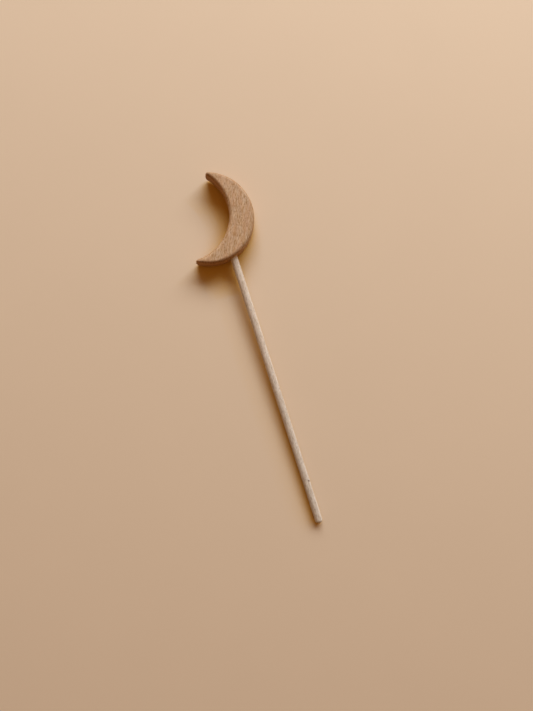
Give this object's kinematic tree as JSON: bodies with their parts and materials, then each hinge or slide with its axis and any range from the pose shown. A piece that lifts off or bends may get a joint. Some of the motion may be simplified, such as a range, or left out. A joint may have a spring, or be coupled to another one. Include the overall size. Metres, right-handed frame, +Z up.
{
  "type": "toy magic wand",
  "caption": "Toy magic wand: a chunky wooden crescent moon with rounded edges and blunt tips, glued on a slim round wooden stick for pretend play.",
  "frame": {"origin": "on the moon's flat back face, straight below the glued end of the stick", "axes": "+Z up out of the moon's front face, +Y along the stick towards the moon, +X to the right with the hollow opening to the upper left"},
  "size_m": [0.0606, 0.313, 0.015],
  "materials": {
    "moon_wood": "sanded bare beech, mid brown, fine flecks",
    "stick_wood": "sanded bare pale dowel",
    "glue": "dried wood glue, slightly translucent"
  },
  "bodies": {
    "root": {"moon_head": "moon_wood", "stick": "stick_wood", "glue_film": "glue"}
  },
  "joints": []
}
